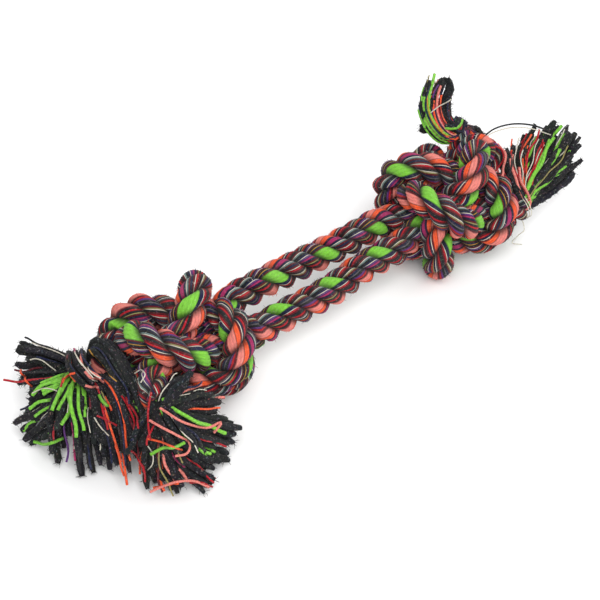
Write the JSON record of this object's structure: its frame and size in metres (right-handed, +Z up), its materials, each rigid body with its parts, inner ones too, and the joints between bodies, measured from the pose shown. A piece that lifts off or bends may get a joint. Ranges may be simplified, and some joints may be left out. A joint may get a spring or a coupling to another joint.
{
  "type": "rope dog toy",
  "caption": "Soft tug toy of doubled multicoloured cotton rope, with a woven ball knot at each end and bushy frayed tassels.",
  "frame": {"origin": "under the middle of the toy, on the surface that it lies on", "axes": "+X along the toy from the near knot to the far knot, +Z up"},
  "size_m": [0.4328, 0.148, 0.1067],
  "materials": {
    "cotton_rope_a": "soft laid cotton yarn in mixed colours",
    "cotton_rope_b": "soft laid cotton yarn in mixed colours",
    "core_yarn": "fluffy unlaid cotton yarn"
  },
  "bodies": {
    "root": {"near_knot_rope_a": "cotton_rope_a", "near_knot_rope_b": "cotton_rope_b", "bridge_rope_a": "cotton_rope_a", "bridge_rope_b": "cotton_rope_b", "far_knot_rope_a": "cotton_rope_a", "far_knot_rope_b": "cotton_rope_b", "near_right_tassel": "core_yarn", "near_left_tassel": "core_yarn", "far_right_tassel": "core_yarn", "far_upper_tassel": "core_yarn"}
  },
  "joints": []
}
